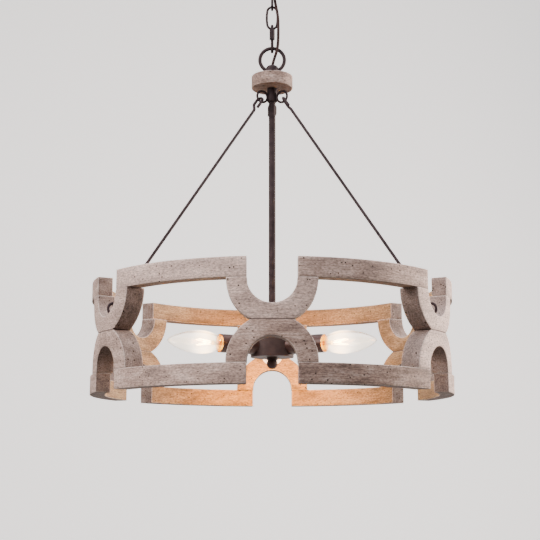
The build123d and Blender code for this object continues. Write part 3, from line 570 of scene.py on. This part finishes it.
    # what the wood's material reads: each board has its own stretch of grain and its own worm holes
    far, deep = drum["grainShift"]
    grainX = addNode(tree, mathNode, [given["Seed"], far, grainX], operation="MULTIPLY_ADD").outputs[0]
    grainZ = addNode(tree, mathNode, [given["Seed"], deep, axes[2]], operation="MULTIPLY_ADD").outputs[0]
    grain = addNode(tree, "ShaderNodeCombineXYZ", [grainX, level, grainZ]).outputs[0]
    shifted = addNode(tree, "ShaderNodeCombineXYZ", [given["Seed"], 0.0, 0.0]).outputs[0]
    shifted = addNode(tree, vectorNode, [board, shifted], operation="ADD").outputs[0]
    seamGap = addNode(tree, mathNode, [seamGap, 1 / mm], operation="MULTIPLY").outputs[0]
    for label, kind, value in (("edgeGap", "FLOAT_VECTOR", edgeGap), ("grain", "FLOAT_VECTOR", grain),
                               ("board", "FLOAT_VECTOR", shifted), ("tone", "FLOAT", given["Tone"]),
                               ("seamGap", "FLOAT", seamGap)):
        block = addNode(tree, "GeometryNodeStoreNamedAttribute",
                        {"Geometry": block, "Name": label, "Value": value},
                        data_type=kind, domain="POINT").outputs[0]
    block = addNode(tree, "GeometryNodeSetPosition", {"Geometry": block, "Position": spot}).outputs[0]
    # hand-sanded, so no face is quite true
    place = addNode(tree, "GeometryNodeInputPosition").outputs[0]
    waves = addNode(tree, noiseNode, {"Vector": place, "W": given["Seed"], "Scale": drum["wavesPerMetre"],
                                      "Detail": 2.0}, noise_dimensions="4D").outputs["Fac"]
    waves = addNode(tree, mathNode, [waves, 0.5], operation="SUBTRACT").outputs[0]
    waves = addNode(tree, mathNode, [waves, given["Unevenness"]], operation="MULTIPLY").outputs[0]
    facing = addNode(tree, "GeometryNodeInputNormal").outputs[0]
    shift = addNode(tree, vectorNode, {0: facing, "Scale": waves}, operation="SCALE").outputs[0]
    block = addNode(tree, "GeometryNodeSetPosition", {"Geometry": block, "Offset": shift}).outputs[0]
    block = addNode(tree, "GeometryNodeRealizeInstances", [block]).outputs[0]
    block = addNode(tree, "GeometryNodeSetMaterial", {"Geometry": block, "Material": given["Material"]})
    addNode(tree, "NodeGroupOutput", [block.outputs[0]])
    return tree


def growPiece(name, tree, values):
    # a new piece from a tree, its inputs set by their sockets' identifiers
    piece = makeObject(name, [(0, 0, 0)], [])
    modifier = piece.modifiers.new(name, "NODES")
    modifier.node_group = tree
    identifiers = {item.name: item.identifier for item in tree.interface.items_tree
                   if item.in_out == "INPUT"}
    for label, value in values.items():
        modifier[identifiers[label]] = value
    return plainMesh(piece)


def makeDrum():
    ringTree = makeBoardTree("half ring", True)
    bandTree = makeBoardTree("bent band", False)
    shuffle = np.random.RandomState(drum["seed"])
    shared = {"Rounding": drum["rounding"] * mm, "Unevenness": drum["unevenness"] * mm, "Material": wood}
    arcMiddle = (drum["ringInner"] + drum["ringOuter"]) / 2
    ringValues = {**shared, "Half Length": (pi / 2 * arcMiddle + drum["armStraight"]) * mm,
                  "Half Height": (drum["ringOuter"] - drum["ringInner"]) / 2 * mm,
                  "Half Depth": drum["ringThickness"] / 2 * mm, "Arm Straight": drum["armStraight"] * mm,
                  "Web Drop": drum["webDrop"] * mm, "Inner Radius": drum["ringInner"] * mm,
                  "Outer Radius": drum["ringOuter"] * mm,
                  "Middle Radius": (drum["radius"] - drum["ringThickness"] / 2) * mm}
    bandRadius = drum["radius"] - drum["bandThickness"] / 2
    halfBay = radians(drum["bay"] / 2)
    bandArc = bandRadius * (halfBay - asin(drum["setback"] / bandRadius))
    bandValues = {**shared, "Half Length": bandArc * mm, "Half Height": drum["bandHeight"] / 2 * mm,
                  "Half Depth": drum["bandThickness"] / 2 * mm, "Middle Radius": bandRadius * mm,
                  "Setback": drum["setback"] * mm, "Half Bay": halfBay}
    for side, direction in (("upper", -1.0), ("lower", 1.0)):
        for index, azimuth in enumerate(drum["azimuths"], start=1):
            low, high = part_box(f"{side}_half_ring_{index}")
            ring = growPiece(f"{side}HalfRing{index}", ringTree, {
                **ringValues, "Azimuth": radians(azimuth), "Level": high.z if direction < 0 else low.z,
                "Direction": direction, "Tone": drum["stainAndLightTones"][f"{side}_half_ring"][index - 1],
                "Seed": shuffle.uniform(0, drum["seedMost"])})
            low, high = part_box(f"{side}_band_{index}")
            band = growPiece(f"{side}Band{index}", bandTree, {
                **bandValues, "Azimuth": radians(azimuth + drum["bay"] / 2), "Level": (low.z + high.z) / 2,
                "Tone": drum["stainAndLightTones"][f"{side}_band"][index - 1],
                "Seed": shuffle.uniform(0, drum["seedMost"])})
            for piece, node in ((ring, f"{side}_half_ring_{index}"), (band, f"{side}_band_{index}")):
                piece.data.shade_smooth()
                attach(piece, "lamp")
                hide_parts(node)


makeDrum()
print("drum boards")


def lathe(name, profile, steps, place, axis, material):
    # turns a profile of (radius, height) pairs in mm about an axis; a zero radius closes to a pole
    turn = Vector(axis).normalized().to_track_quat("Z", "Y").to_matrix()
    place = Vector(place)
    vertices, rows, faces = [], [], []
    for radius, height in profile:
        radius, height = radius * mm, height * mm
        row = []
        for step in range(steps if radius > 0 else 1):
            angle = 2 * pi * step / steps
            row.append(len(vertices))
            vertices.append(turn @ Vector((radius * cos(angle), radius * sin(angle), height)) + place)
        rows.append(row)
    for lower, upper in zip(rows, rows[1:]):
        for step in range(steps):
            after = (step + 1) % steps
            if len(lower) == 1:
                faces.append((lower[0], upper[after], upper[step]))
            elif len(upper) == 1:
                faces.append((lower[step], lower[after], upper[0]))
            else:
                faces.append((lower[step], lower[after], upper[after], upper[step]))
    return makeObject(name, vertices, faces, material)


# The puck, turned from the same stained fir, its grain straight across. Sizes in mm, but where its grain
# starts is in metres.
puck = {"radius": 30.2, "rounding": 1.0, "bore": 5.05, "steps": 160, "rows": 8, "flatRows": 6, "tone": 0.08,
        "wander": 0.35, "wanderSize": 9, "grainStart": 4.1, "noEdge": 99}


def makePuck():
    low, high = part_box("wood_puck")
    bottom, top = low.z / mm, high.z / mm
    soft = puck["rounding"]
    turn = [(sin(radians(a)), cos(radians(a))) for a in (30, 60)]
    flat = np.linspace(puck["bore"], puck["radius"] - soft, puck["flatRows"])
    rise = np.linspace(bottom + soft, top - soft, puck["rows"])
    profile = [(r, bottom) for r in flat]
    profile += [(puck["radius"] - soft + soft * s, bottom + soft - soft * c) for s, c in turn]
    profile += [(puck["radius"], z) for z in rise]
    profile += [(puck["radius"] - soft + soft * s, top - soft + soft * c) for s, c in reversed(turn)]
    profile += [(r, top) for r in reversed(flat)]
    profile.append(profile[0])
    piece = lathe("woodPuck", profile, puck["steps"], (0, 0, 0), (0, 0, 1), wood)
    mesh = piece.data
    middle, half = (bottom + top) / 2, (top - bottom) / 2
    grain, gap, board = [], [], []
    for vertex in mesh.vertices:
        x, y, z = (value / mm for value in vertex.co)
        push = puck["wander"] * noise.noise(Vector((x, y, z)) / puck["wanderSize"])
        outside = Vector((x, y, 0)).length
        grain += [x * mm + puck["grainStart"], z * mm, y * mm]
        # the puck gets none of the painted shade of saw cuts, so the greater gap comes second and nowhere
        # counts as sawn
        gap += [puck["noEdge"], *sorted((half - abs(z - middle), puck["radius"] - outside), reverse=True)]
        board += [atan2(y, x) * puck["radius"] * mm, z * mm, outside * mm]
        if outside > puck["bore"] + 1:
            vertex.co += Vector((x, y, 0)).normalized() * push * mm
    for label, values in (("grain", grain), ("edgeGap", gap), ("board", board)):
        mesh.attributes.new(label, "FLOAT_VECTOR", "POINT").data.foreach_set("vector", values)
    for label, value in (("tone", puck["tone"]), ("seamGap", puck["noEdge"])):
        mesh.attributes.new(label, "FLOAT", "POINT").data.foreach_set("value", [value] * len(mesh.vertices))
    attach(piece, "lamp")
    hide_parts("wood_puck")


makePuck()

# Bulbs: a blown candelabra lamp and a cage of hairpins, carried by two lead wires. Heights in mm above the
# glass's foot.
bulb = {
    "base": 75.3, "length": 87.7, "wall": 0.6, "tipRadius": 0.2, "steps": 96, "azimuths": (-60, 60, 180),
    "outline": [(6.8, 0.0), (7.5, 2.0), (9.2, 6.5), (10.9, 12.0), (13.1, 18.5), (14.9, 25.5), (16.1, 33.0),
                (16.4, 41.0), (15.9, 49.0), (14.7, 57.0), (12.7, 65.0), (10.1, 72.5), (7.4, 78.5),
                (4.8, 83.0), (2.5, 86.0), (1.0, 87.4)],
    "light": 0.22, "lightColor": "#FF9E30", "lightHeight": 32.0, "lightRadius": 2.5,
}
filament = {"foot": 18.0, "low": 23.0, "high": 43.0, "narrow": 2.2, "wide": 5.2, "radius": 0.4,
            "hairpins": 4, "pinSteps": 24, "round": 350, "footSpread": 1.2, "leadRadius": 0.3, "sides": 6}


def curvePoints(points, order, resolution):
    # the smooth line that a list of control points pulls along
    curve = bpy.data.curves.new("line", "CURVE")
    curve.dimensions = "3D"
    spline = curve.splines.new("NURBS")
    spline.points.add(len(points) - 1)
    for point, spot in zip(spline.points, points):
        point.co = (*spot, 1)
    spline.order_u = order
    spline.use_endpoint_u = True
    spline.resolution_u = resolution
    holder = bpy.data.objects.new("line", curve)
    mesh = bpy.data.meshes.new_from_object(holder)
    line = [vertex.co.copy() for vertex in mesh.vertices]
    bpy.data.objects.remove(holder)
    bpy.data.curves.remove(curve)
    bpy.data.meshes.remove(mesh)
    return line


def tubeFaces(count, sides):
    # the faces between rings of points, and one to close each end
    faces = []
    for index in range(count - 1):
        for step in range(sides):
            after = (step + 1) % sides
            a, b = index * sides, (index + 1) * sides
            faces.append((a + step, a + after, b + after, b + step))
    faces.append(tuple(reversed(range(sides))))
    faces.append(tuple((count - 1) * sides + step for step in range(sides)))
    return faces


def wireAlong(name, line, radius, sides, material):
    # a round wire along a line of points
    line = [Vector(point) for point in line]
    vertices = []
    side = None
    for index, point in enumerate(line):
        ahead = (line[min(index + 1, len(line) - 1)] - line[max(index - 1, 0)]).normalized()
        if side is None:
            side = ahead.orthogonal().normalized()
        side = (side - ahead * side.dot(ahead)).normalized()
        other = ahead.cross(side)
        for step in range(sides):
            angle = 2 * pi * step / sides
            vertices.append(point + (side * cos(angle) + other * sin(angle)) * radius)
    return makeObject(name, vertices, tubeFaces(len(line), sides), material)


def join(kept, added):
    # puts the second piece's faces into the first
    offset = len(kept.data.vertices)
    vertices = [v.co.copy() for v in kept.data.vertices] + [v.co.copy() for v in added.data.vertices]
    faces = [tuple(p.vertices) for p in kept.data.polygons]
    faces += [tuple(v + offset for v in p.vertices) for p in added.data.polygons]
    kept.data.clear_geometry()
    kept.data.from_pydata(vertices, [], faces)
    kept.data.shade_smooth()
    bpy.data.objects.remove(added)


def bulbAxis(azimuth):
    return Vector((sin(radians(azimuth)), -cos(radians(azimuth)), 0))


def makeBulbs():
    outline = curvePoints([(r, 0, z) for r, z in bulb["outline"]], order=4, resolution=6)
    outside = [(spot.x, spot.z) for spot in outline]
    wall, length = bulb["wall"], bulb["length"]
    inside = [(max(r - wall, bulb["tipRadius"]), min(max(z, wall), length - wall))
              for r, z in reversed(outside)]
    shell = [(0, 0), *outside, (0, length)]
    hollow = [(0, length - wall), *inside, (0, wall)]
    for number, azimuth in enumerate(bulb["azimuths"], start=1):
        low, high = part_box(f"bulb_base_{number}")
        axis = bulbAxis(azimuth)
        start = axis * bulb["base"] * mm + Vector((0, 0, (low.z + high.z) / 2))
        outer = lathe(f"bulbGlass{number}", shell, bulb["steps"], start, axis, glass)
        inner = lathe("hollow", hollow, bulb["steps"], start, axis, glass)
        join(outer, inner)
        heights = [(vertex.co - start).dot(axis) / mm for vertex in outer.data.vertices]
        look = glassLook
        marks = {
            "warmth": [exp(-((height - look["warmHeight"]) / look["warmReach"]) ** 2) for height in heights],
            "milky": [min(max((height - look["milkStart"]) / look["milkRise"], 0), 1) for height in heights],
            "giltReflection": [min(max((look["giltTop"] - height) / look["giltFade"] + 1, 0), 1) for height in heights],
        }
        for label, values in marks.items():
            outer.data.attributes.new(label, "FLOAT", "POINT").data.foreach_set("value", values)
        outer.visible_shadow = False   # thin clear glass throws next to no shadow
        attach(outer, f"bulb_{number}")
        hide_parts(f"bulb_glass_{number}")
        makeFilament(number, start, axis)
        data = bpy.data.lights.new(f"bulb light {number}", "POINT")
        data.energy = bulb["light"]
        data.color = linearColor(bulb["lightColor"])[:3]
        data.shadow_soft_size = bulb["lightRadius"] * mm
        lamp = bpy.data.objects.new(f"bulb light {number}", data)
        lamp.location = start + axis * bulb["lightHeight"] * mm
        bpy.context.scene.collection.objects.link(lamp)


def makeFilament(number, start, axis):
    up = Vector((0, 0, 1))
    across = axis.cross(up)
    line = []
    steps = filament["hairpins"] * filament["pinSteps"]
    for step in range(steps + 1):
        turn = radians(filament["round"]) * step / steps
        lift = 0.5 - 0.5 * cos(2 * pi * filament["hairpins"] * step / steps)
        reach = filament["narrow"] + (filament["wide"] - filament["narrow"]) * lift
        height = filament["low"] + (filament["high"] - filament["low"]) * lift
        line.append(start + (axis * height + (across * cos(turn) + up * sin(turn)) * reach) * mm)
    coil = wireAlong(f"filament{number}", line, filament["radius"] * mm, filament["sides"], glow)
    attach(coil, f"bulb_{number}")
    for name, side in (("Left", -1), ("Right", 1)):
        foot = start + (axis * filament["foot"] + across * side * filament["footSpread"]) * mm
        top = start + (axis * filament["low"] + across * side * filament["narrow"]) * mm
        lead = wireAlong(f"lead{name}{number}", [foot, foot.lerp(top, 0.5), top], filament["leadRadius"] * mm,
                         filament["sides"], materials["zinc plated steel"])
        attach(lead, f"bulb_{number}")


makeBulbs()
print("puck and bulbs")

# The flat feed cord. The route's points are the CAD's, in mm.
cord = {
    "route": [(0, 0, -34.0), (0, 0, -40.5), (2.8, -2.2, -47.0), (5.2, -5.2, -54.5), (4.8, -5.4, -62.5),
              (3.6, -4.4, -71.5), (5.6, -4.8, -82.5), (8.2, -5.0, -96.0), (9.2, -4.8, -111.0),
              (9.1, -4.8, -125.0), (8.9, -5.2, -137.0), (8.0, -5.7, -148.0), (5.4, -4.8, -158.0),
              (2.2, -1.9, -166.5), (0, 0, -175.0), (0, 0, -185.0)],
    "width": 4.2, "thickness": 2.4, "steps": 16, "bend": 9,
    "twist": [(-34, 15), (-60, 35), (-85, 5), (-115, 20), (-140, 5), (-165, -10), (-185, 0)],
    "splits": [-70.5, -101.5, -134.0],
    "joints": [("ceiling_mount", "upper_link", -56.1), ("upper_link", "lower_link", -86.2),
               ("lower_link", "quick_link_body", -116.65), ("quick_link_body", "lamp", -152.15)],
}


def cordSection(angle):
    # two round cores side by side, with a groove between them
    radius = cord["thickness"] / 2
    offset = cord["width"] / 2 - radius
    points = []
    for step in range(cord["steps"]):
        turn = 2 * pi * step / cord["steps"] + pi / cord["steps"]
        x, y = cos(turn), sin(turn) * radius
        x = x * radius + (offset if x > 0 else -offset)
        points.append(Vector((x * cos(angle) - y * sin(angle), x * sin(angle) + y * cos(angle))))
    return points


def makeCord():
    route = [tuple(value * mm for value in spot) for spot in cord["route"]]
    line = curvePoints(route, order=3, resolution=10)
    cuts = [min(range(len(line)), key=lambda i: abs(line[i].z / mm - z)) for z in cord["splits"]]
    cuts = [0, *cuts, len(line) - 1]
    heights, turns = zip(*[(z, radians(angle)) for z, angle in cord["twist"]][::-1])
    for number, (first, last) in enumerate(zip(cuts, cuts[1:]), start=1):
        stretch = line[first:last + 1]
        vertices = []
        for index in range(first, last + 1):
            ahead = (line[min(index + 1, len(line) - 1)] - line[max(index - 1, 0)]).normalized()
            side = (Vector((1, 0, 0)) - ahead * ahead.x).normalized()
            other = ahead.cross(side)
            angle = float(np.interp(line[index].z / mm, heights, turns))
            for spot in cordSection(angle):
                vertices.append(line[index] + (side * spot.x + other * spot.y) * mm)
        faces = tubeFaces(len(stretch), cord["steps"])
        piece = makeObject(f"feedCord{number}", vertices, faces, materials["brown vinyl cord"])
        if number == 1:
            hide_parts("feed_cord")
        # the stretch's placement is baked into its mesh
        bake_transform(piece)


makeCord()
print("feed cord")

# CAD pieces that keep their shape and take a finish
paint(materials["oil-rubbed bronze"], "canopy", "canopy_collar", "canopy_loop", "chain_link_1",
      "chain_link_2", "quick_link", "quick_link_nut", "top_loop", "stem_tube", "ring_collar",
      "suspension_rod_1", "suspension_rod_2", "suspension_rod_3", "screw_eyes", "cap_screws")
paint(materials["textured bronze powder coat"], "hub_cup", "hub_plate", "finial")
paint(materials["brown baked enamel"], "socket_cups")
paint(materials["zinc plated steel"], "mounting_strap", "threaded_nipple", "nipple_nuts", "hub_nuts")
paint(materials["green dyed screw"], "ground_screw")
paint(materials["moulded cream urea"], "sockets")
paint(materials["rolled brass"], "bulb_base_1", "bulb_base_2", "bulb_base_3")
paint(materials["turned beech"], "glue_dowels")
paint(materials["brown vinyl cord"], "lamp_wires")


# Inside its mouth a cup is bare metal, which the bulb turns golden. The radius is between the cup's inner and
# outer ones, in mm, and a face belongs to the bulb that it lies most along.
lining = {"radius": 12.4, "along": 0.6}


def lineCups():
    mesh = nodes["socket_cups"].data
    mesh.materials.append(materials["bare steel, golden in the bulb's light"])
    low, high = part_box("bulb_base_1")
    level = (low.z + high.z) / 2
    for face in mesh.polygons:
        centre = Vector(face.center)
        flat = Vector((centre.x, centre.y, 0))
        for axis in map(bulbAxis, bulb["azimuths"]):
            if flat.dot(axis) > lining["along"] * flat.length:
                offset = centre - Vector((0, 0, level)) - axis * flat.dot(axis)
                if offset.length < lining["radius"] * mm and face.normal.dot(offset) < 0:
                    face.material_index = 1


lineCups()
print("finishes on the CAD pieces")
